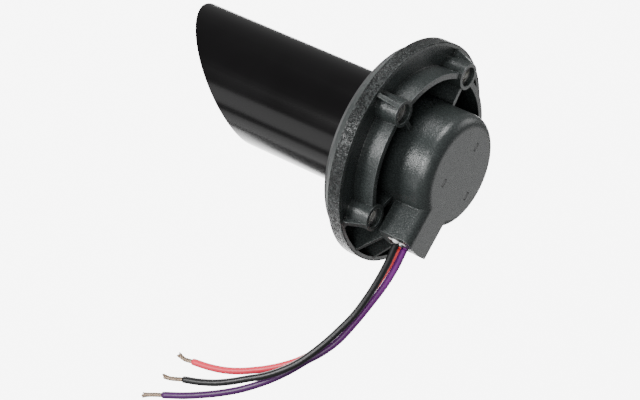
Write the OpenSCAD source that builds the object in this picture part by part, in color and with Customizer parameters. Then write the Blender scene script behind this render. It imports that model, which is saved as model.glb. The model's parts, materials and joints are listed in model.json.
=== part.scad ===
// Flange-mounted ultrasonic tank level sender with a focus tube.
// Frame: +Z up along the tube, away from the tank. The origin is the centre of
// the gasket's underside, the face that seats on the tank. The cable box points to -Y.

/* [Flange] */
// Radius of the flange
flange_r = 34.5; // [34:0.5:45]
// Thickness of the flange above the gasket
flange_h = 7.2; // [5:0.2:10]
// Thickness of the rubber gasket
gasket_h = 1; // [0.5:0.5:3]
// Depth of the dished face inside the rim
dish_depth = 0.5; // [0.2:0.1:1.5]
// Width of the rim left around the dished face
rim_w = 1.4; // [1:0.2:2]
// Width of the bevel along the flange's lower edge
edge_bevel = 3; // [1:0.5:3.5]
// Thickness of the flange floor under the pockets
floor_h = 3; // [2.5:0.5:4]

/* [Screw pattern] */
// Diameter of the circle that the five screws lie on
pcd = 54; // [50:0.5:58]
// Number of screws
screw_n = 5; // [4:1:6]
// Angle of the first screw from +X
screw_phase = 26.4; // [20:0.2:32]
// Outer radius of a screw boss
boss_r = 4.1; // [3.8:0.1:4.6]
// Height of a screw boss above the flange face
boss_h = 6.8; // [3:0.2:9]
// Radius of the bore through a boss
boss_bore_r = 3; // [2.8:0.1:3.2]
// Radius of the hole in a screw sleeve
sleeve_bore_r = 2.5; // [2.1:0.1:2.6]
// Depth of a sleeve below the boss's top
sleeve_drop = 1.6; // [0.5:0.1:3]

/* [Ring wall and ribs] */
// Outer radius of the ring wall
ring_r = 27; // [26:0.2:28]
// Thickness of the ring wall
ring_t = 1.75; // [1.2:0.05:2.4]
// Height of the ring wall above the flange face
ring_h = 6.2; // [3:0.2:8]
// Thickness of the ribs
rib_t = 1.3; // [1:0.1:2]
// Angle where the opening in the ring wall starts
open_from = 248; // [246:1:252]
// Angle where the opening in the ring wall ends
open_to = 310; // [306:1:312]

/* [Dome and cable box] */
// Outer radius of the dome
dome_r = 17.6; // [16.6:0.2:19]
// Height of the dome's top above the seating face
dome_top = 26.1; // [24.1:0.2:34.1]
// Radius of the rounded top edge of the dome
dome_round = 3.65; // [2:0.05:4.5]
// Wall of the dome and the cable box
dome_wall = 2; // [1.4:0.1:2.2]
// Width of the cable box
box_w = 15.2; // [13:0.2:17]
// Depth of the cable box, down from the dome's top
box_h = 10.8; // [9.6:0.2:11.4]
// Radius of the rounded upper edges of the cable box
box_round = 2.8; // [1.5:0.1:3]
// Distance of the box's curved end from the axis
box_reach = 27; // [25:0.2:28]

/* [Focus tube] */
// Outer radius of the focus tube
tube_r = 17.75; // [17:0.25:19]
// Wall of the focus tube
tube_wall = 1.6; // [1.2:0.1:2]
// Length of the tube below the seating face, measured on its axis
tube_len = 60.9; // [45:0.1:120]
// Slope of the oblique end from square
cut_slope = 43; // [0:1:45]
// Angle of the tube's longest side from +X
cut_turn = 106; // [0:1:359]

/* [Sensor] */
// Length of the spigot below the seating face
spigot_len = 16; // [15:0.5:22]
// Outer radius of the transducer can
can_r = 11.5; // [10.5:0.1:12.4]
// Height of the transducer can
can_h = 12; // [11:0.5:13]
// Thickness of the can's radiating face
face_t = 1; // [0.6:0.1:1.4]
// Radius of the piezo disc
piezo_r = 7; // [5:0.5:9]
// Thickness of the piezo disc
piezo_t = 1.2; // [0.8:0.1:2]

/* [Circuit board] */
// Radius of the circuit board
board_r = 13; // [12.4:0.1:13.2]
// Thickness of the circuit board
board_t = 1.6; // [1:0.2:2]
// Height of the board's underside above the seating face
board_z = 11.4; // [10:0.2:12]

/* [Wires] */
// Outer diameter of a wire
wire_d = 2.1; // [1.8:0.1:2.4]
// Diameter of a wire's bare strands
strand_d = 1.2; // [0.8:0.1:1.5]
// Distance between neighbouring wires
wire_gap = 3; // [2.5:0.1:3.4]

/* [Hidden] */

$fn = 96;
slip = 0.1;          // clearance between pieces that slide together
seat_gap = 0.05;     // clearance between pieces that are bonded or pressed
flange_z = gasket_h;
face_z = gasket_h + flange_h;
dish_z = face_z - dish_depth;
pocket_z = flange_z + floor_h;
boss_top = face_z + boss_h;
ring_top = face_z + ring_h;
screw_r = pcd / 2;
screw_step = 360 / screw_n;
pocket_r = flange_r - rim_w;
gasket_r = flange_r - edge_bevel - 0.5;
tube_bore_r = tube_r - tube_wall;
spigot_r = tube_bore_r - slip;
spigot_bore_r = 13.5;
cavity_r = dome_r - dome_wall;
cavity_top = dome_top - dome_wall;
box_bottom = dome_top - box_h;
duct_w = box_w - 2 * dome_wall;
duct_bottom = box_bottom + dome_wall;
rib_turns = [268, 288];        // plain ribs across the open pocket
board_top = board_z + board_t;
can_bottom = 1 - spigot_len;
can_top = can_bottom + can_h;
ring_seat_h = 1.2;             // thickness of the retaining ring
plug_h = 2;
lead_r = 0.4;
lead_x = 3;                    // distance of each piezo lead from the axis
wire_r = wire_d / 2;
// Heights of the black, purple and red wires where they leave the box
wire_z = [dome_top - 6.1, dome_top - 4.5, dome_top - 7.1];
lead_end_y = -9;               // inner end of the wires, over the board
exit_y = -box_reach;
oring_r = 0.7;
oring_z = -11;
groove_r = tube_bore_r - 2 * oring_r;

// Routes of the wires and their bare strands, as steps along Y and Z from the box's end
route_black = [[0, 0], [-6, 0.5], [-12, 0.5], [-18, 0], [-24, -1], [-30, -3], [-35, -5],
    [-40, -7.5], [-44, -10], [-48, -13.5], [-51.5, -17.5], [-54.5, -22], [-57.5, -26.5],
    [-60, -31], [-62, -36], [-63.5, -41]];
route_purple = [[0, 0], [-6.1, 0.3], [-12, -0.1], [-17.9, -1.1], [-25, -2.6], [-32, -4.6],
    [-37.2, -7.3], [-41.9, -10.8], [-46.6, -14.1], [-51, -17.8], [-54.8, -21.7],
    [-58.3, -25.9], [-61.4, -30.4], [-64.2, -35.1], [-67.5, -41.4], [-70.4, -48.1]];
route_red = [[0, 0], [-7, 0], [-12.5, -0.5], [-17.9, -1.4], [-24.3, -2.6], [-30.6, -4.3],
    [-34.4, -6.1], [-37.9, -8.4], [-42.7, -12.4], [-46.2, -16.4], [-48.6, -19.7],
    [-50.7, -23.1], [-53.3, -27.9], [-55.3, -33], [-56.6, -38.3], [-57.4, -43.8]];
strand_black = [[-63.5, -41], [-65, -45], [-65.5, -48]];
strand_purple = [[-70.4, -48.1], [-71.9, -51.6], [-73.4, -54.6]];
strand_red = [[-57.4, -43.8], [-57.9, -46.8], [-57.4, -49.8]];

// A route set in the plane of wire k, counted from the black wire
function placed(route, k) =
    [for (p = route) [(k - 1) * wire_gap, exit_y + p[0], wire_z[k] + p[1]]];

// Vector helpers for the swept tubes
function unit(v) = v / norm(v);
function tangent(p, i) =
    unit(p[min(i + 1, len(p) - 1)] - p[max(i - 1, 0)]);
// A ring of n points around point i, square to the route, with X as its side axis
function ring(p, i, r, n) =
    let (t = tangent(p, i), side = [1, 0, 0], up = cross(t, side))
    [for (k = [0 : n - 1]) p[i] + r * (cos(360 * k / n) * side + sin(360 * k / n) * up)];

// A round tube swept along a route that stays in a plane of constant X
module swept(p, r, n = 8) {
    m = len(p);
    pts = [for (i = [0 : m - 1]) each ring(p, i, r, n)];
    sides = [for (i = [0 : m - 2]) for (k = [0 : n - 1])
        [i * n + k, i * n + (k + 1) % n, (i + 1) * n + (k + 1) % n, (i + 1) * n + k]];
    first = [[for (k = [n - 1 : -1 : 0]) k]];
    last = [[for (k = [0 : n - 1]) (m - 1) * n + k]];
    polyhedron(points = pts, faces = concat(sides, first, last), convexity = 4);
}

module tube(r_out, r_in, z0, z1) {
    translate([0, 0, z0]) difference() {
        cylinder(r = r_out, h = z1 - z0);
        translate([0, 0, -1]) cylinder(r = r_in, h = z1 - z0 + 2);
    }
}

module at_screws() {
    for (k = [0 : screw_n - 1]) rotate([0, 0, screw_phase + k * screw_step])
        translate([screw_r, 0, 0]) children();
}

// A pie slice between two angles, out to radius r
module wedge(from, to, r, z0, z1) {
    mid = (from + to) / 2;
    far = r / cos((to - from) / 4);
    translate([0, 0, z0]) linear_extrude(z1 - z0)
        polygon([[0, 0], [r * cos(from), r * sin(from)],
            [far * cos((from + mid) / 2), far * sin((from + mid) / 2)],
            [far * cos((to + mid) / 2), far * sin((to + mid) / 2)],
            [r * cos(to), r * sin(to)]]);
}

// An upright plate along a radius, drawn in the plane of radius and height
module plate(turn, outline) {
    rotate([0, 0, turn]) translate([0, rib_t / 2, 0]) rotate([90, 0, 0])
        linear_extrude(rib_t) polygon(outline);
}

module flange_profile() {
    difference() {
        polygon([[0, flange_z], [flange_r - edge_bevel, flange_z],
            [flange_r, flange_z + edge_bevel], [flange_r, face_z], [0, face_z]]);
        translate([ring_r, dish_z]) square([flange_r - rim_w - ring_r, flange_h]);
    }
}

module flange_body() {
    difference() {
        rotate_extrude() flange_profile();
        tube(ring_r - ring_t, dome_r, pocket_z, face_z + 1);
        intersection() {
            tube(pocket_r, dome_r, pocket_z, face_z + 1);
            wedge(open_from, open_to, flange_r + 5, pocket_z - 1, face_z + 2);
        }
    }
}

module ring_wall() {
    difference() {
        tube(ring_r, ring_r - ring_t, flange_z + 1, ring_top);
        wedge(open_from, open_to, flange_r + 5, pocket_z, ring_top + 1);
    }
}

module ribs() {
    outer = screw_r + boss_r - 0.6;
    for (k = [0 : screw_n - 1]) {
        turn = screw_phase + k * screw_step;
        plate(turn, [[outer, dish_z - 1], [flange_r - 1, dish_z - 1], [flange_r - 1, face_z],
            [outer + 0.5, boss_top], [outer, boss_top]]);
        plate(turn, [[cavity_r + 1, pocket_z - 1], [screw_r - boss_r + 0.6, pocket_z - 1],
            [screw_r - boss_r + 0.6, ring_top], [cavity_r + 1, ring_top]]);
    }
    for (turn = rib_turns)
        plate(turn, [[cavity_r + 1, pocket_z - 1], [pocket_r + 0.3, pocket_z - 1],
            [flange_r - 1, face_z - 1], [flange_r - 1, face_z], [ring_r - 1, ring_top],
            [cavity_r + 1, ring_top]]);
}

module dome_profile(r, top, round_r, z0) {
    intersection() {
        union() {
            translate([0, z0]) square([r - round_r, top - z0]);
            translate([0, z0]) square([r, top - round_r - z0]);
            translate([r - round_r, top - round_r]) circle(r = round_r);
        }
        translate([0, z0]) square([r + 1, top - z0 + 1]);
    }
}

// The box's section across the duct, with rounded upper edges
module box_section(w, z0, z1, round_r) {
    translate([-w / 2, z0]) square([w, z1 - round_r - z0]);
    translate([round_r - w / 2, z0]) square([w - 2 * round_r, z1 - z0]);
    for (side = [-1, 1]) translate([side * (w / 2 - round_r), z1 - round_r])
        circle(r = round_r);
}

module along_box(y0, y1) {
    translate([0, -y0, 0]) rotate([90, 0, 0]) linear_extrude(y1 - y0) children();
}

module cable_box() {
    intersection() {
        along_box(cavity_r - 4, box_reach + 2)
            box_section(box_w, box_bottom, dome_top, box_round);
        cylinder(r = box_reach, h = dome_top + 1);
    }
}

// The space inside the dome, the box and the spigot
module cavity() {
    translate([0, 0, pocket_z]) cylinder(r = cavity_r, h = cavity_top - pocket_z);
    translate([0, 0, -spigot_len - 1]) cylinder(r = spigot_bore_r, h = pocket_z + spigot_len + 2);
    along_box(cavity_r - 3, box_reach + 3)
        box_section(duct_w, duct_bottom, cavity_top, box_round - dome_wall);
}

module housing() {
    color([0.16, 0.17, 0.17]) difference() {
        union() {
            flange_body();
            ring_wall();
            ribs();
            at_screws() translate([0, 0, flange_z + 1])
                cylinder(r = boss_r, h = boss_top - flange_z - 1);
            rotate_extrude() dome_profile(dome_r, dome_top, dome_round, flange_z + 1);
            cable_box();
            translate([0, 0, -spigot_len]) cylinder(r = spigot_r, h = spigot_len + flange_z + 1);
        }
        cavity();
        at_screws() translate([0, 0, flange_z - 1]) cylinder(r = boss_bore_r, h = boss_top);
        tube(spigot_r + 1, groove_r, oring_z - oring_r, oring_z + oring_r);
        tube(spigot_bore_r + 0.8, spigot_bore_r - 1, -spigot_len + 0.8,
            -spigot_len + 0.8 + ring_seat_h);
    }
}

module flange_gasket() {
    color([0.09, 0.09, 0.09]) difference() {
        tube(gasket_r, tube_r + slip, 0, gasket_h);
        at_screws() translate([0, 0, -1]) cylinder(r = boss_bore_r, h = gasket_h + 2);
    }
}

module focus_tube() {
    reach = 4 * tube_r;
    color([0.05, 0.05, 0.05]) difference() {
        tube(tube_r, tube_bore_r, -tube_len - tube_r - 2, flange_z - seat_gap);
        translate([0, 0, -tube_len]) rotate([0, 0, cut_turn]) rotate([0, cut_slope, 0])
            translate([-reach, -reach, -reach]) cube([2 * reach, 2 * reach, reach]);
    }
}

module tube_o_ring() {
    color([0.1, 0.1, 0.1]) rotate_extrude()
        translate([groove_r + oring_r, oring_z]) circle(r = oring_r - slip / 4, $fn = 32);
}

module screw_sleeves() {
    color([0.72, 0.72, 0.7]) at_screws()
        tube(boss_bore_r - seat_gap, sleeve_bore_r, 0, boss_top - sleeve_drop);
}

module transducer_can() {
    color([0.75, 0.76, 0.78]) difference() {
        translate([0, 0, can_bottom]) cylinder(r = can_r, h = can_h);
        translate([0, 0, can_bottom + face_t]) cylinder(r = can_r - 1, h = can_h);
    }
}

module matching_face() {
    color([0.85, 0.83, 0.74]) translate([0, 0, can_bottom - face_t / 2])
        cylinder(r = can_r - 1.5, h = face_t / 2);
}

module piezo_disc() {
    color([0.86, 0.78, 0.5]) translate([0, 0, can_bottom + face_t])
        cylinder(r = piezo_r, h = piezo_t);
}

module damping_pad() {
    color([0.3, 0.3, 0.32]) difference() {
        translate([0, 0, can_bottom + face_t + piezo_t])
            cylinder(r = can_r - 1 - slip, h = can_h - face_t - piezo_t - plug_h);
        lead_holes(can_bottom);
    }
}

module transducer_plug() {
    color([0.12, 0.13, 0.12]) difference() {
        translate([0, 0, can_top - plug_h]) cylinder(r = can_r - 1 - seat_gap, h = plug_h);
        lead_holes(can_bottom);
    }
}

module lead_holes(z0) {
    for (side = [-1, 1]) translate([side * lead_x, 0, z0])
        cylinder(r = lead_r + seat_gap, h = board_top - z0, $fn = 24);
}

module isolator_sleeve() {
    color([0.62, 0.2, 0.14]) {
        tube(spigot_bore_r - seat_gap, can_r + seat_gap, can_bottom + 0.1 + ring_seat_h, can_top);
        tube(spigot_bore_r - seat_gap, can_r - 3, can_top, can_top + 1.2);
    }
}

module retaining_ring() {
    color([0.2, 0.2, 0.2]) tube(spigot_bore_r + 0.6, can_r + 0.4, -spigot_len + 0.9,
        -spigot_len + 0.7 + ring_seat_h);
}

module piezo_leads() {
    z0 = can_bottom + face_t + piezo_t;
    color([0.7, 0.12, 0.1]) for (side = [-1, 1]) translate([side * lead_x, 0, z0])
        cylinder(r = lead_r, h = board_z - z0, $fn = 24);
}

module circuit_board() {
    color([0.08, 0.3, 0.16]) difference() {
        translate([0, 0, board_z]) cylinder(r = board_r, h = board_t);
        for (side = [-1, 1]) translate([side * lead_x, 0, board_z - 1])
            cylinder(r = lead_r / 2, h = board_t + 2, $fn = 24);
    }
}

// A box standing on the board, centred at x, y
module chip(x, y, w, d, h) {
    translate([x - w / 2, y - d / 2, board_top]) cube([w, d, h]);
}

module microcontroller() {
    color([0.1, 0.1, 0.1]) difference() {
        chip(0, 4.6, 7, 7, 1.2);
        translate([-2.6, 7.2, board_top + 1]) cylinder(r = 0.4, h = 1, $fn = 24);
    }
    color([0.8, 0.8, 0.8]) for (side = [-1, 1], k = [-3 : 3])
        chip(side * 4, 4.6 + 0.8 * k, 1, 0.35, 0.5);
}

module voltage_regulator() {
    color([0.12, 0.12, 0.12]) chip(-8.2, 0, 3.6, 6.4, 1.6);
    color([0.8, 0.8, 0.8]) for (k = [-1 : 1]) chip(-6, 2.2 * k, 0.8, 0.8, 0.6);
}

module pulse_transformer() {
    color([0.25, 0.24, 0.23]) difference() {
        chip(8, -1.4, 6.2, 6.2, 5);
        chip(8, -1.4, 4.2, 7, 4);
    }
    color([0.72, 0.42, 0.2]) chip(8, -1.4, 4, 5, 3.8);
}

module filter_capacitors() {
    color([0.75, 0.76, 0.78]) for (side = [-1, 1])
        translate([7 * side, side < 0 ? 7.4 : 6.6, board_top]) cylinder(r = 2.4, h = 5.4);
}

module crystal() {
    color([0.8, 0.8, 0.78]) chip(0, -1.4, 5, 3.2, 1.1);
}

module chip_parts() {
    color([0.7, 0.62, 0.5]) for (k = [-1.5 : 1.5]) chip(1.8 * k, 9.8, 1, 0.6, 0.5);
    color([0.15, 0.15, 0.15]) for (k = [-2 : 2]) chip(2 * k, -4.4, 1.2, 0.7, 0.5);
}

module solder_joints() {
    color([0.78, 0.78, 0.76]) for (k = [-1 : 1])
        translate([k * wire_gap, lead_end_y, board_top])
            cylinder(r1 = 1.1, r2 = 0.6, h = 0.8, $fn = 48);
}

// Each wire's hidden end: level through the duct, then bare down to the board
module inner_leads() {
    level = board_top + 0.8;
    color([0.75, 0.3, 0.28]) for (k = [0 : 2])
        translate([(k - 1) * wire_gap, lead_end_y, 0]) {
            translate([0, 0, wire_z[k]]) rotate([90, 0, 0])
                cylinder(r = wire_r, h = box_reach + lead_end_y);
            translate([0, -wire_r, level]) cylinder(r = strand_d / 4, h = wire_z[k] - level);
            translate([0, 0, level]) cylinder(r = 0.5, h = 0.6);
            translate([-0.3, -wire_r, level]) cube([0.6, wire_r, 0.6]);
        }
}

module wire_space(clear) {
    for (k = [0 : 2]) translate([(k - 1) * wire_gap, lead_end_y + 1, wire_z[k]])
        rotate([90, 0, 0]) cylinder(r = wire_r + clear, h = 2 * box_reach);
}

// The resin takes the whole cavity above the transducer, less what it is cast around
module potting_resin() {
    color([0.14, 0.13, 0.12]) difference() {
        union() {
            translate([0, 0, pocket_z + seat_gap])
                cylinder(r = cavity_r - seat_gap, h = cavity_top - pocket_z - 2 * seat_gap);
            along_box(cavity_r - 3, box_reach - 5) box_section(duct_w - 2 * seat_gap,
                duct_bottom + seat_gap, cavity_top - seat_gap, box_round - dome_wall);
        }
        translate([0, 0, board_z - seat_gap])
            cylinder(r = board_r + seat_gap, h = board_t + 2 * seat_gap);
        lead_holes(pocket_z);
        translate([-11, -6, board_top]) cube([22.4, 17.4, 6]);
        translate([-6, lead_end_y - 2, board_top]) cube([12, 6, wire_z[1] - board_top]);
        wire_space(seat_gap);
    }
}

module exit_sealant() {
    color([0.9, 0.9, 0.88]) difference() {
        union() {
            intersection() {
                along_box(box_reach - 5, box_reach + 1) box_section(duct_w - 2 * seat_gap,
                    duct_bottom + seat_gap, wire_z[1] + 1.6, 0.3);
                cylinder(r = box_reach - 0.3, h = dome_top);
            }
            translate([-wire_gap - 1.7, exit_y + 1.4, wire_z[0] + 0.3]) sphere(r = 1.5);
            translate([-wire_gap + 0.6, exit_y + 0.8, wire_z[0] + 1.3]) sphere(r = 1.1);
        }
        wire_space(seat_gap);
        difference() {
            cable_box();
            cavity();
        }
    }
}

module wire_red() {
    color([0.75, 0.2, 0.2]) swept(placed(route_red, 2), wire_r);
}

module wire_black() {
    color([0.05, 0.05, 0.05]) swept(placed(route_black, 0), wire_r);
}

module wire_purple() {
    color([0.35, 0.12, 0.5]) swept(placed(route_purple, 1), wire_r);
}

module strands_red() {
    color([0.75, 0.72, 0.68]) swept(placed(strand_red, 2), strand_d / 2);
}

module strands_black() {
    color([0.75, 0.72, 0.68]) swept(placed(strand_black, 0), strand_d / 2);
}

module strands_purple() {
    color([0.75, 0.72, 0.68]) swept(placed(strand_purple, 1), strand_d / 2);
}

housing();
flange_gasket();
focus_tube();
tube_o_ring();
screw_sleeves();
transducer_can();
matching_face();
piezo_disc();
damping_pad();
transducer_plug();
isolator_sleeve();
retaining_ring();
piezo_leads();
circuit_board();
microcontroller();
voltage_regulator();
pulse_transformer();
filter_capacitors();
crystal();
chip_parts();
solder_joints();
inner_leads();
potting_resin();
exit_sealant();
wire_red();
wire_black();
wire_purple();
strands_red();
strands_black();
strands_purple();
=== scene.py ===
import json
import math
import bpy
import numpy as np
from mathutils import Matrix, Vector


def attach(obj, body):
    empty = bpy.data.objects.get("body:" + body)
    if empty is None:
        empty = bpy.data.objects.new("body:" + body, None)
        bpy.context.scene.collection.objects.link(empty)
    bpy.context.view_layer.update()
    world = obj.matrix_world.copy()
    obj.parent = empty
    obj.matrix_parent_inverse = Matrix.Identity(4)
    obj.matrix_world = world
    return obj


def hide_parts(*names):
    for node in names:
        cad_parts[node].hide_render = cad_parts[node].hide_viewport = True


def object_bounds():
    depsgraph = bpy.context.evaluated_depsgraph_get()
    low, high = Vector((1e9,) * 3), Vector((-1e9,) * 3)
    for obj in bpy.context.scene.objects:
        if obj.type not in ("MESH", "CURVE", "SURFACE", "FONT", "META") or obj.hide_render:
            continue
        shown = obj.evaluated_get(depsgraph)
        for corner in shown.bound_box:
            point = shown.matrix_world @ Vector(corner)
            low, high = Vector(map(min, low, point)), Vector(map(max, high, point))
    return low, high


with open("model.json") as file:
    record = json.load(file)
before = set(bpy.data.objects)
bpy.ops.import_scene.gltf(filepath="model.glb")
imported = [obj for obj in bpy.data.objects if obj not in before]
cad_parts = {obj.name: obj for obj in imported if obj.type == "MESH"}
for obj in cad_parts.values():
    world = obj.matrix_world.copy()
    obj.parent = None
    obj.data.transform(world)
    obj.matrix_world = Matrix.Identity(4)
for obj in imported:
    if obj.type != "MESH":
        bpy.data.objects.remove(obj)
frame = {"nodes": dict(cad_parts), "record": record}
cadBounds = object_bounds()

mm = 0.001               # the design's unit, in metres
nodes = frame["nodes"]
scene = bpy.context.scene

camera = dict(
    place=(-0.5665, -0.0994, 0.3275),    # where the lens stands
    forward=(0.8526, 0.1130, -0.5102),
    up=(-0.3329, 0.8700, -0.3638),       # the head hangs turned in the view
    lens=125.3,                          # for a 36 mm wide sensor
)


def makeCamera(spec):
    data = bpy.data.cameras.new("camera")
    data.lens = spec["lens"]
    data.sensor_width = 36
    data.clip_start = 0.01
    data.clip_end = 20
    view = bpy.data.objects.new("camera", data)
    scene.collection.objects.link(view)
    forward = Vector(spec["forward"]).normalized()
    right = forward.cross(Vector(spec["up"])).normalized()
    up = right.cross(forward)
    turn = Matrix((right, up, -forward)).transposed()
    view.matrix_world = Matrix.Translation(spec["place"]) @ turn.to_4x4()
    scene.camera = view
    return forward, right, up


viewForward, viewRight, viewUp = makeCamera(camera)
print("camera placed")


class Signal:
    # a node's output; sums and products of signals add Math nodes
    def __init__(self, finish, socket):
        self.finish = finish
        self.socket = socket

    def maths(self, operation, *values):
        sockets = dict(enumerate((self,) + values))
        return self.finish.node("ShaderNodeMath", dict(operation=operation), sockets)

    def __add__(self, other):
        return self.maths("ADD", other)

    def __radd__(self, other):
        return self.maths("ADD", other)

    def __sub__(self, other):
        return self.maths("SUBTRACT", other)

    def __rsub__(self, other):
        return self.maths("MULTIPLY_ADD", -1.0, other)

    def __mul__(self, other):
        return self.maths("MULTIPLY", other)

    def __rmul__(self, other):
        return self.maths("MULTIPLY", other)

    def above(self, edge, soft):
        # 0 below the edge, 1 above it, with a smooth step of the given width
        spec = dict(interpolation_type="SMOOTHSTEP")
        sockets = {"Value": self, "From Min": edge - soft / 2, "From Max": edge + soft / 2}
        return self.finish.node("ShaderNodeMapRange", spec, sockets)


class Finish:
    # a material: a Principled shader, its nodes, and what feeds its sockets
    def __init__(self, name, constants=None):
        self.material = bpy.data.materials.new(name)
        self.material.use_nodes = True
        self.tree = self.material.node_tree
        self.shader = self.tree.nodes["Principled BSDF"]
        self.set(constants or {})
        self.coords = self.node("ShaderNodeTexCoord", output="Object")

    def feed(self, socket, value):
        # links a signal or sets a value; a colour of three numbers gets its alpha
        if isinstance(value, Signal):
            self.tree.links.new(value.socket, socket)
        elif isinstance(value, tuple) and len(value) == 3 and len(socket.default_value) == 4:
            socket.default_value = value + (1.0,)
        else:
            socket.default_value = value

    def node(self, kind, settings=None, sockets=None, output=0):
        made = self.tree.nodes.new(kind)
        for key, value in (settings or {}).items():
            setattr(made, key, value)
        for key, value in (sockets or {}).items():
            self.feed(made.inputs[key], value)
        return Signal(self, made.outputs[output])

    def noise(self, size, detail=2.0, rough=0.5, stretch=None):
        # fractal noise whose lumps are about the given size, in millimetres
        where = self.coords
        if stretch:
            where = self.node("ShaderNodeMapping", {}, {"Vector": where, "Scale": stretch})
        sockets = {"Vector": where, "Scale": 1 / (size * mm), "Detail": detail, "Roughness": rough}
        return self.node("ShaderNodeTexNoise", {}, sockets, "Fac")

    def cells(self, size):
        # distance to the nearest of a field of random points
        sockets = {"Vector": self.coords, "Scale": 1 / (size * mm)}
        return self.node("ShaderNodeTexVoronoi", {}, sockets, "Distance")

    def axes(self):
        # x, y and z of the point, in metres
        first = self.node("ShaderNodeSeparateXYZ", {}, {0: self.coords})
        return [Signal(self, socket) for socket in first.socket.node.outputs]

    def mix(self, factor, first, second):
        # sockets 0, 6 and 7 take the factor and the colours, and output 2 gives the colour
        sockets = {0: factor, 6: first, 7: second}
        return self.node("ShaderNodeMix", dict(data_type="RGBA"), sockets, 2)

    def bump(self, height, depth, normal=None):
        # height runs from 0 to 1 and stands for the given depth, in millimetres
        sockets = {"Height": height, "Distance": depth * mm, "Strength": 1.0}
        if normal:
            sockets["Normal"] = normal
        return self.node("ShaderNodeBump", {}, sockets)

    def softEdge(self, radius):
        # breaks sharp edges with a small moulded radius, in millimetres
        spec = dict(samples=6)
        return self.node("ShaderNodeBevel", spec, {"Radius": radius * mm})

    def edgeTurn(self, radius):
        # 1 on a flat face, less near an edge that softEdge would round
        face = self.node("ShaderNodeNewGeometry", output="Normal")
        sockets = {0: self.softEdge(radius), 1: face}
        return self.node("ShaderNodeVectorMath", dict(operation="DOT_PRODUCT"), sockets, "Value")

    def openness(self, reach):
        # 1 in the open, less in a corner, within the given reach in millimetres
        spec = dict(samples=6, only_local=True)
        return self.node("ShaderNodeAmbientOcclusion", spec, {"Distance": reach * mm}, "AO")

    def set(self, sockets):
        for key, value in sockets.items():
            self.feed(self.shader.inputs[key], value)
        return self.material


flangeRadius = cadBounds[1][0] / mm
moulding = dict(             # sizes in millimetres
    dark=(0.013, 0.0160, 0.0155),
    light=(0.042, 0.050, 0.0485),
    # edge: colour of the painted highlight along convex edges
    edge=(0.150, 0.168, 0.164),
    # side: the textured side's own darker tone, also used as the colour of the painted shade in
    # corners
    side=(0.0030, 0.0037, 0.0036),
    pit=(0.004, 0.004, 0.004),
    grain=0.45,            # size of the fine texture
    coarse=0.95,           # size of the spark-eroded texture on the flange's side
    clouds=9.0,            # size of the slow changes of tone
    scuffs=2.4,
    sideRadius=flangeRadius - 0.3,       # past this radius the coarse texture shows
    bevelRadius=flangeRadius - 3.2,      # the flange's bevel starts here
    sideFrom=4.1,          # height at which the bevel ends and the side starts
    roundEdge=0.22,        # radius on every edge
    edgeHighlightWidth=0.26,         # width of the painted highlight beside an edge
    corner=1.6,            # how far the painted shade of a corner reaches
    grainDepth=0.09,
    coarseDepth=0.14,
    domeTop=cadBounds[1][2] / mm,
    pits=[(0.25, 9.2), (-6.4, -5.5), (9.4, -3.7)],     # middles
    pitSize=(0.95, 2.4),
    pitDepth=0.35,
)


def slot(x, y, centre, size):
    # 1 inside a small oblong, 0 outside it
    across = (x - centre[0] * mm).maths("ABSOLUTE").above(size[0] / 2 * mm, 0.25 * mm)
    along = (y - centre[1] * mm).maths("ABSOLUTE").above(size[1] / 2 * mm, 0.4 * mm)
    return (1 - across) * (1 - along)


def makeMoulding(spec):
    finish = Finish("moulded_plastic", {"IOR": 1.47})
    x, y, z = finish.axes()
    radius = (x * x + y * y).maths("SQRT")
    upper = z.above(spec["sideFrom"] * mm, 0.3 * mm)
    side = radius.above(spec["sideRadius"] * mm, 0.3 * mm) * upper
    bevel = radius.above(spec["bevelRadius"] * mm, 0.2 * mm) * (1 - upper)
    fine = finish.noise(spec["grain"], 3.0, 0.65)
    coarse = finish.noise(spec["coarse"], 4.0, 0.7).above(0.5, 0.12)
    clouds = finish.noise(spec["clouds"], 3.0, 0.55)
    scuffs = finish.noise(spec["scuffs"], 5.0, 0.75, (1.0, 1.0, 0.35)).above(0.60, 0.08)
    pits = slot(x, y, spec["pits"][0], spec["pitSize"])
    for centre in spec["pits"][1:]:
        pits = pits + slot(x, y, centre, spec["pitSize"])
    pits = pits * z.above((spec["domeTop"] - 0.3) * mm, 0.2 * mm)
    opened = finish.openness(spec["corner"])
    # painted highlight: a lighter stripe along convex edges, kept out of corners
    edgeHighlight = (1 - finish.edgeTurn(spec["edgeHighlightWidth"]).above(0.93, 0.12)) * opened.above(0.72, 0.16)
    specks = fine.above(0.58, 0.10)
    tone = clouds * 0.45 + specks * 0.45 + scuffs * 0.2
    colour = finish.mix(tone, spec["dark"], spec["light"])
    colour = finish.mix(side * (1 - coarse * 0.75), colour, spec["side"])
    colour = finish.mix(edgeHighlight * (0.25 + fine), colour, spec["edge"])
    # painted shade: corners and creases darkened towards the side colour by ambient occlusion
    colour = finish.mix((1 - opened) * 0.8, colour, spec["side"])
    colour = finish.mix(pits, colour, spec["pit"])
    normal = finish.bump(fine, spec["grainDepth"], finish.softEdge(spec["roundEdge"]))
    normal = finish.bump(coarse * side, spec["coarseDepth"], normal)
    normal = finish.bump(1 - pits, spec["pitDepth"], normal)
    rough = 0.21 + fine * 0.14 + bevel * 0.50 - scuffs * 0.05
    return finish.set({"Base Color": colour, "Roughness": rough, "Normal": normal})


def makeTubePlastic():
    finish = Finish("extruded_plastic", {"IOR": 1.28})
    streaks = finish.noise(1.6, 3.0, 0.5, (1.0, 1.0, 0.02))
    haze = finish.noise(14.0, 2.0, 0.5)
    colour = finish.mix(haze, (0.0020, 0.0018, 0.0019), (0.0036, 0.0034, 0.0037))
    rough = 0.13 + streaks * 0.06 + haze * 0.05
    normal = finish.bump(streaks, 0.004, finish.softEdge(0.15))
    return finish.set({"Base Color": colour, "Roughness": rough, "Normal": normal})


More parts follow.
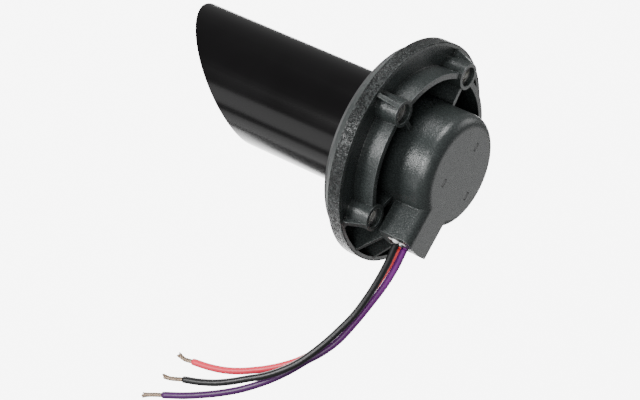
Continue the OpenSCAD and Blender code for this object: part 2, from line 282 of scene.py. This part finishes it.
def makeRubber(name, colour, roughness):
    finish = Finish(name)
    dust = finish.noise(1.2, 4.0, 0.6)
    paler = tuple(min(1.0, 1.6 * c + 0.006) for c in colour)
    shade = finish.mix(dust, colour, paler)
    normal = finish.bump(finish.noise(0.4, 2.0), 0.01, finish.softEdge(0.2))
    rough = roughness + dust * 0.1
    return finish.set({"Base Color": shade, "Roughness": rough, "Normal": normal})


def makeMetal(name, colour, roughness, size):
    finish = Finish(name, {"Metallic": 1.0})
    stain = finish.noise(size, 4.0, 0.65)
    darker = tuple(0.55 * c for c in colour)
    shade = finish.mix(stain, darker, colour)
    normal = finish.bump(finish.noise(size / 4, 3.0), 0.02)
    rough = roughness + stain * 0.15
    return finish.set({"Base Color": shade, "Roughness": rough, "Normal": normal})


def makePlain(name, colour, roughness, size=1.0):
    finish = Finish(name)
    spots = finish.noise(size, 3.0, 0.6)
    darker = tuple(0.7 * c for c in colour)
    shade = finish.mix(spots, darker, colour)
    normal = finish.bump(spots, 0.01, finish.softEdge(0.08))
    rough = roughness + spots * 0.1
    return finish.set({"Base Color": shade, "Roughness": rough, "Normal": normal})


def makeSealant():
    # a white bead on the first wire; the rest is smeared with the dark resin
    finish = Finish("set_sealant")
    x = finish.axes()[0]
    lumps = finish.noise(1.1, 4.0, 0.6)
    bead = 1 - (x + lumps * 2.0 * mm).above(-2.3 * mm, 0.5 * mm)
    shade = finish.mix(bead, (0.030, 0.030, 0.029), (0.82, 0.82, 0.80))
    normal = finish.bump(lumps, 0.25)
    rough = 0.3 + lumps * 0.2
    return finish.set({"Base Color": shade, "Roughness": rough, "Normal": normal})


def makeInsulation(name, near, far, start, end):
    # the colour goes from near to far between two distances from the axis, in millimetres
    finish = Finish(name, {"IOR": 1.48})
    y = finish.axes()[1]
    run = (-1 * y).above((start + end) / 2 * mm, (end - start) * mm)
    smear = finish.noise(2.0, 4.0, 0.6, (1.0, 0.4, 0.4))
    shade = finish.mix(run, near, far)
    shade = finish.mix(smear * 0.35, shade, tuple(0.55 * c for c in far))
    normal = finish.bump(finish.noise(1.1, 3.0), 0.02)
    rough = 0.32 + smear * 0.16
    return finish.set({"Base Color": shade, "Roughness": rough, "Normal": normal})


def makeBoard():
    finish = Finish("solder_mask")
    tracks = finish.cells(2.6).above(0.36, 0.05)
    shade = finish.mix(tracks, (0.010, 0.10, 0.035), (0.020, 0.20, 0.070))
    normal = finish.bump(tracks, 0.03)
    rough = 0.3 + tracks * 0.1
    return finish.set({"Base Color": shade, "Roughness": rough, "Normal": normal})


def makeLeads(first, second, third):
    # the three hidden wire ends, told apart by their place across the duct
    finish = Finish("lead_insulation")
    x = finish.axes()[0]
    halfPitch = 1.5 * mm
    shade = finish.mix(x.above(-halfPitch, 0.1 * mm), first, second)
    shade = finish.mix(x.above(halfPitch, 0.1 * mm), shade, third)
    rough = 0.3 + finish.noise(1.0) * 0.1
    return finish.set({"Base Color": shade, "Roughness": rough})


red = (0.55, 0.030, 0.022)
pink = (0.74, 0.030, 0.065)
black = (0.006, 0.006, 0.0065)
purple = (0.190, 0.018, 0.230)
plum = (0.060, 0.008, 0.085)
finishes = {
    "moulding": makeMoulding(moulding),
    "gasket_rubber": makeRubber("gasket_rubber", (0.020, 0.021, 0.021), 0.5),
    "tube_plastic": makeTubePlastic(),
    "plated_steel": makeMetal("plated_steel", (0.86, 0.86, 0.84), 0.38, 0.8),
    "aluminium": makeMetal("plain_aluminium", (0.80, 0.80, 0.82), 0.3, 2.0),
    "ceramic": makePlain("fired_ceramic", (0.76, 0.70, 0.52), 0.5),
    "resin": makePlain("cast_resin", (0.022, 0.020, 0.018), 0.25, 3.0),
    "silicone": makeRubber("silicone_rubber", (0.38, 0.06, 0.04), 0.45),
    "board": makeBoard(),
    "chip_body": makePlain("chip_epoxy", (0.020, 0.020, 0.022), 0.5, 0.5),
    "copper": makePlain("wound_core", (0.42, 0.20, 0.09), 0.4, 0.4),
    "solder": makeMetal("tinned_copper", (0.36, 0.27, 0.20), 0.36, 0.5),
    "sealant": makeSealant(),
    "insulation_red": makeInsulation("insulation_red", red, pink, 42, 66),
    "insulation_black": makeInsulation("insulation_black", black, black, 40, 60),
    "insulation_purple": makeInsulation("insulation_purple", purple, plum, 45, 72),
}
leadFinish = makeLeads(black, purple, red)


def dress(piece, material):
    piece.data.materials.clear()
    piece.data.materials.append(material)


for row in frame["record"]["subparts"]:
    dress(nodes[row["node"]], finishes[row["material_slot"]])
dress(nodes["inner_leads"], leadFinish)
print("finishes made:", len(finishes))

wireSize = dict(
    diameter=2.1 * mm,
    rings=120,               # rows of points along the insulation
    sides=24,
    strandDiameter=0.46 * mm,
    strandRings=40,
    strandSides=10,
    wound=6,                 # strands round the middle one
    lay=1.9,                 # their distance from it, in strand radii
    pitch=5.5 * mm,          # the length in which they turn once
    frayFrom=0.55,           # share of the bare end after which they spread
    frayGrowth=8,
)
# each route and bare end is in steps along Y and Z from the point where the wire leaves the box
wires = {
    "black": dict(
        exit=(-3, -27, 20),
        route=[(0, 0), (-6, 0.5), (-12, 0.5), (-18, 0), (-24, -1), (-30, -3), (-35, -5),
               (-40, -7.5), (-44, -10), (-48, -13.5), (-51.5, -17.5), (-54.5, -22),
               (-57.5, -26.5), (-60, -31), (-62, -36), (-63.5, -41)],
        bare=[(-63.5, -41), (-65, -45), (-65.5, -48)],
        fray=0.25),
    "purple": dict(
        exit=(0, -27, 21.6),
        route=[(0, 0), (-6.1, 0.3), (-12, -0.1), (-17.9, -1.1), (-25, -2.6), (-32, -4.6),
               (-37.2, -7.3), (-41.9, -10.8), (-46.6, -14.1), (-51, -17.8), (-54.8, -21.7),
               (-58.3, -25.9), (-61.4, -30.4), (-64.2, -35.1), (-67.5, -41.4),
               (-70.4, -48.1)],
        bare=[(-70.4, -48.1), (-71.9, -51.6), (-73.4, -54.6)],
        fray=0.45),
    "red": dict(
        exit=(3, -27, 19),
        route=[(0, 0), (-7, 0), (-12.5, -0.5), (-17.9, -1.4), (-24.3, -2.6), (-30.6, -4.3),
               (-34.4, -6.1), (-37.9, -8.4), (-42.7, -12.4), (-46.2, -16.4), (-48.6, -19.7),
               (-50.7, -23.1), (-53.3, -27.9), (-55.3, -33), (-56.6, -38.3), (-57.4, -43.8)],
        bare=[(-57.4, -43.8), (-57.9, -46.8), (-57.4, -49.8)],
        fray=0.35),
}


def placed(steps, start):
    # each point is the start with a step along Y and a step along Z added
    return [(start[0], start[1] + y, start[2] + z) for y, z in steps]


def smoothPath(points, count):
    # a Catmull-Rom curve through the points: on each span a cubic whose end slopes
    # are half the vector between the neighbours; returns count points along it
    p = np.asarray(points, float)
    p = np.vstack([2 * p[0] - p[1], p, 2 * p[-1] - p[-2]])
    t = np.linspace(0, len(points) - 1, count)
    i = np.minimum(t.astype(int), len(points) - 2)
    u = (t - i)[:, None]
    a, b, c, d = p[i], p[i + 1], p[i + 2], p[i + 3]
    return 0.5 * (2 * b + (c - a) * u + (2 * a - 5 * b + 4 * c - d) * u ** 2
                  + (3 * b - a - 3 * c + d) * u ** 3)


def pathFrame(path):
    # unit tangent, side and up at each point; the side is X made square to the tangent
    tangent = np.gradient(path, axis=0)
    tangent /= np.linalg.norm(tangent, axis=1)[:, None]
    side = np.array([1.0, 0, 0]) - tangent * tangent[:, :1]
    side /= np.linalg.norm(side, axis=1)[:, None]
    return tangent, side, np.cross(tangent, side)


def tubeGrid(path, radius, sides):
    # point(i, a) = path(i) + radius(i) * (cos a * side + sin a * up)
    tangent, side, up = pathFrame(path)
    angle = np.linspace(0, 2 * math.pi, sides, endpoint=False)
    cosine, sine = np.cos(angle)[:, None], np.sin(angle)[:, None]
    spokes = cosine * side[:, None] + sine * up[:, None]
    return path[:, None] + np.asarray(radius)[:, None, None] * spokes


def gridMesh(name, grids):
    # joins closed tubes given as grids of rings; each end gets a flat cap
    verts = []
    faces = []
    base = 0
    for grid in grids:
        rows, sides = grid.shape[:2]
        index = base + np.arange(rows * sides).reshape(rows, sides)
        after = np.roll(index, -1, axis=1)
        quads = np.stack([index[:-1], after[:-1], after[1:], index[1:]], -1).reshape(-1, 4)
        faces += quads.tolist() + [index[0, ::-1].tolist(), index[-1].tolist()]
        verts.append(grid.reshape(-1, 3))
        base += rows * sides
    mesh = bpy.data.meshes.new(name)
    mesh.from_pydata(np.vstack(verts).tolist(), [], faces)
    mesh.polygons.foreach_set("use_smooth", np.ones(len(mesh.polygons), bool))
    mesh.update()
    piece = bpy.data.objects.new(name, mesh)
    scene.collection.objects.link(piece)
    return piece


def strandGrids(points, fray, seed):
    # a straight strand and six helices round it: at a share t of the way, strand k is
    # reach * spread(t) from the middle, at the angle 2 pi (k / wound + t * length / pitch)
    size = wireSize
    path = smoothPath(points, size["strandRings"]) * mm
    tangent, side, up = pathFrame(path)
    run = np.linspace(0, 1, len(path))
    length = np.linalg.norm(np.diff(path, axis=0), axis=1).sum()
    strandR = size["strandDiameter"] / 2
    rng = np.random.default_rng(seed)
    grids = []
    for k in range(1 + size["wound"]):
        past = np.maximum(0, run - size["frayFrom"])
        spread = 1 + fray * past ** 2 * size["frayGrowth"] * rng.uniform(0.4, 1.4)
        reach = 0 if k == 0 else strandR * size["lay"]
        angle = 2 * math.pi * (k / size["wound"] + run * length / size["pitch"])
        offset = np.cos(angle)[:, None] * side + np.sin(angle)[:, None] * up
        stop = int(len(path) * rng.uniform(0.90, 1.0))
        line = (path + offset * (reach * spread)[:, None])[:stop]
        grids.append(tubeGrid(line, np.full(len(line), strandR), size["strandSides"]))
    return grids


def makeWire(name, spec, seed):
    size = wireSize
    path = smoothPath(placed(spec["route"], spec["exit"]), size["rings"]) * mm
    radius = np.full(len(path), size["diameter"] / 2)
    radius[-1] *= 0.97                    # the cut end of the insulation
    wire = gridMesh("insulation_of_" + name, [tubeGrid(path, radius, size["sides"])])
    dress(wire, finishes["insulation_" + name])
    bareSteps = placed(spec["bare"], spec["exit"])
    bare = gridMesh("bare_end_of_" + name, strandGrids(bareSteps, spec["fray"], seed))
    dress(bare, finishes["solder"])
    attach(wire, "root")
    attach(bare, "root")
    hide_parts("wire_" + name)
    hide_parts("strands_" + name)
    start = tuple(c * mm for c in spec["exit"])


for seed, (name, spec) in enumerate(wires.items()):
    makeWire(name, spec, seed)

studio = dict(               # in metres
    floorDrop=0.22,          # from the seating face down to the floor
    floorAt=(0.636, 0.119),  # middle of the sheet, behind the object in the camera's view
    floorSize=(1.20, 0.33),  # just fills that view, so that the dark tube mirrors little of it
    floorTurn=20.5,          # degrees about Z
    floorGlow=7.0,           # evens out the sheet's white
    aim=(-0.021, -0.027, 0.001),     # the lights point here
    sky=0.30,
)
softboxes = [                # each is a place seen from the lens: right, up and towards it
    dict(name="key", right=-0.77, up=0.16, near=0.70, size=0.28, power=12),
    dict(name="near", right=-0.34, up=-0.12, near=1.05, size=0.5, power=8),
    dict(name="top", right=0.05, up=1.00, near=0.42, size=0.5, power=12),
    dict(name="above", right=-0.04, up=0.80, near=-0.42, size=0.62, power=0.05),
    dict(name="left", right=-0.92, up=-0.28, near=0.18, size=0.5, power=1.7),
    dict(name="low", right=-0.76, up=-0.58, near=-0.32, size=0.4, power=0.9),
    dict(name="behind", right=0.82, up=-0.33, near=-0.50, size=0.6, power=1.25),
    dict(name="side", right=0.90, up=0.50, near=-0.20, size=0.5, power=2.6),
]


def makeFloor(spec):
    turn = math.radians(spec["floorTurn"])
    along = Vector((math.cos(turn), math.sin(turn), 0)) * spec["floorSize"][0] / 2
    across = Vector((-math.sin(turn), math.cos(turn), 0)) * spec["floorSize"][1] / 2
    middle = Vector(spec["floorAt"] + (-spec["floorDrop"],))
    corners = [middle + a * along + b * across for a, b in ((-1, -1), (1, -1), (1, 1), (-1, 1))]
    mesh = bpy.data.meshes.new("floor")
    mesh.from_pydata([tuple(c) for c in corners], [], [(0, 1, 2, 3)])
    floor = bpy.data.objects.new("floor", mesh)
    scene.collection.objects.link(floor)
    finish = Finish("floor_paper", {"Roughness": 0.9, "Emission Strength": spec["floorGlow"]})
    finish.set({"Base Color": (0.92, 0.92, 0.92), "Emission Color": (1.0, 1.0, 1.0)})
    dress(floor, finish.material)


def makeLight(spec, aim):
    data = bpy.data.lights.new(spec["name"], "AREA")
    data.shape = "DISK"
    data.size = spec["size"]
    data.energy = spec["power"]
    light = bpy.data.objects.new(spec["name"], data)
    scene.collection.objects.link(light)
    away = spec["right"] * viewRight + spec["up"] * viewUp - spec["near"] * viewForward
    turn = away.to_track_quat("Z", "Y").to_matrix().to_4x4()
    light.matrix_world = Matrix.Translation(Vector(aim) + away) @ turn


def makeSky(strength):
    world = bpy.data.worlds.new("studio")
    world.use_nodes = True
    back = world.node_tree.nodes["Background"]
    back.inputs["Color"].default_value = (1, 1, 1, 1)
    back.inputs["Strength"].default_value = strength
    scene.world = world


makeFloor(studio)
makeSky(studio["sky"])
for spec in softboxes:
    makeLight(spec, studio["aim"])
print("studio lit")
